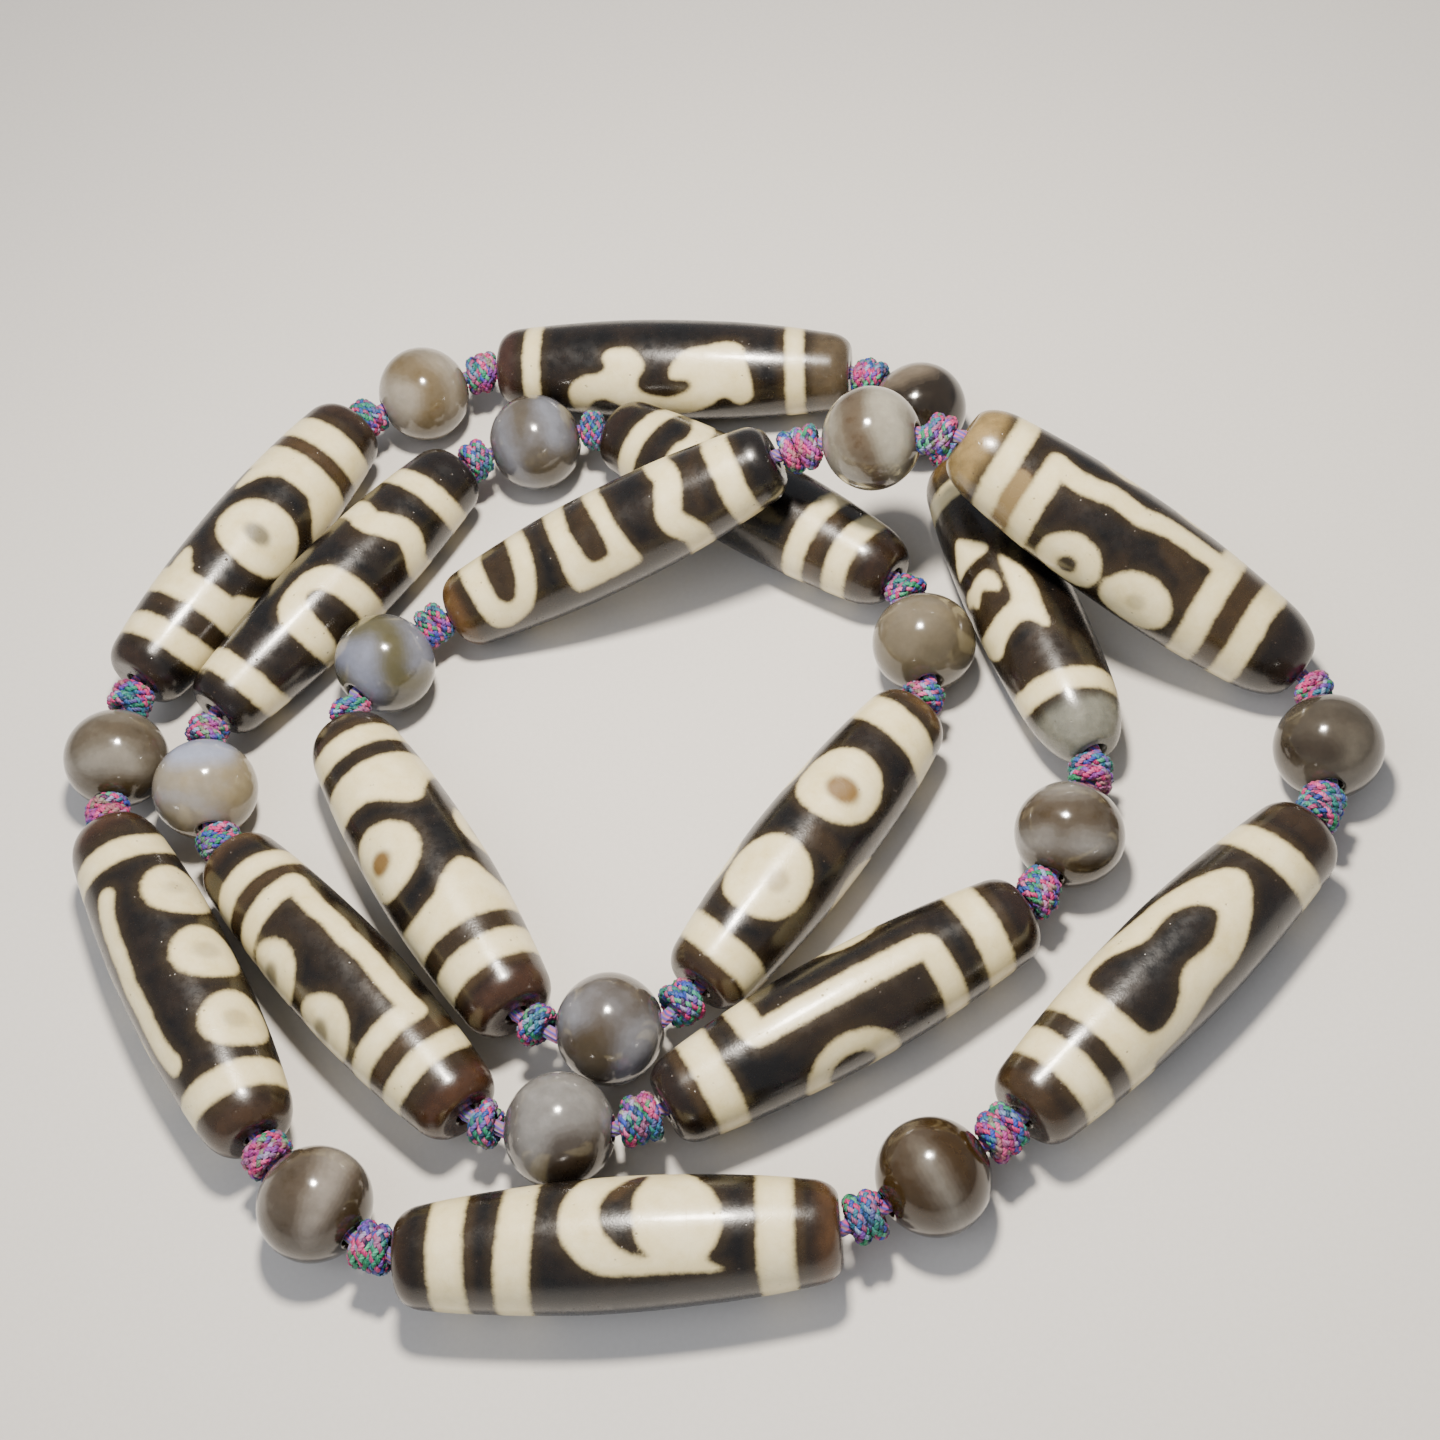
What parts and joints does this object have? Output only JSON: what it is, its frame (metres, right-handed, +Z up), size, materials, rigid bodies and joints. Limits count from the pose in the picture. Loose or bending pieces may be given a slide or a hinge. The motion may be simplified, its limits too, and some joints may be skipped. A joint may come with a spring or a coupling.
{
  "type": "dzi bead necklace",
  "caption": "Closed strand of long etched dzi beads and round agate beads with a cord knot on both sides of every bead, lying in a loose flat coil.",
  "frame": {"origin": "middle of the coiled strand's box, on the surface that it lies on", "axes": "+Z up from that surface, +X to the right and +Y away from the viewer as the picture shows the coil"},
  "size_m": [0.1274, 0.1138, 0.0242],
  "materials": {
    "etched_agate": "polished brown-black agate with ivory etched figures",
    "banded_agate": "polished translucent grey and brown agate",
    "braided_cord": "fine braid of pink, blue, green and violet thread"
  },
  "bodies": {
    "root": {"dzi_01": "etched_agate", "dzi_02": "etched_agate", "dzi_03": "etched_agate", "dzi_04": "etched_agate", "dzi_05": "etched_agate", "dzi_06": "etched_agate", "dzi_07": "etched_agate", "dzi_08": "etched_agate", "dzi_09": "etched_agate", "dzi_10": "etched_agate", "dzi_11": "etched_agate", "dzi_12": "etched_agate", "dzi_13": "etched_agate", "dzi_14": "etched_agate", "agate_01": "banded_agate", "agate_02": "banded_agate", "agate_03": "banded_agate", "agate_04": "banded_agate", "agate_05": "banded_agate", "agate_06": "banded_agate", "agate_07": "banded_agate", "agate_08": "banded_agate", "agate_09": "banded_agate", "agate_10": "banded_agate", "agate_11": "banded_agate", "agate_12": "banded_agate", "agate_13": "banded_agate", "agate_14": "banded_agate", "knot_01": "braided_cord", "knot_02": "braided_cord", "knot_03": "braided_cord", "knot_04": "braided_cord", "knot_05": "braided_cord", "knot_06": "braided_cord", "knot_07": "braided_cord", "knot_08": "braided_cord", "knot_09": "braided_cord", "knot_10": "braided_cord", "knot_11": "braided_cord", "knot_12": "braided_cord", "knot_13": "braided_cord", "knot_14": "braided_cord", "knot_15": "braided_cord", "knot_16": "braided_cord", "knot_17": "braided_cord", "knot_18": "braided_cord", "knot_19": "braided_cord", "knot_20": "braided_cord", "knot_21": "braided_cord", "knot_22": "braided_cord", "knot_23": "braided_cord", "knot_24": "braided_cord", "knot_25": "braided_cord", "knot_26": "braided_cord", "knot_27": "braided_cord", "knot_28": "braided_cord", "cord": "braided_cord"}
  },
  "joints": []
}
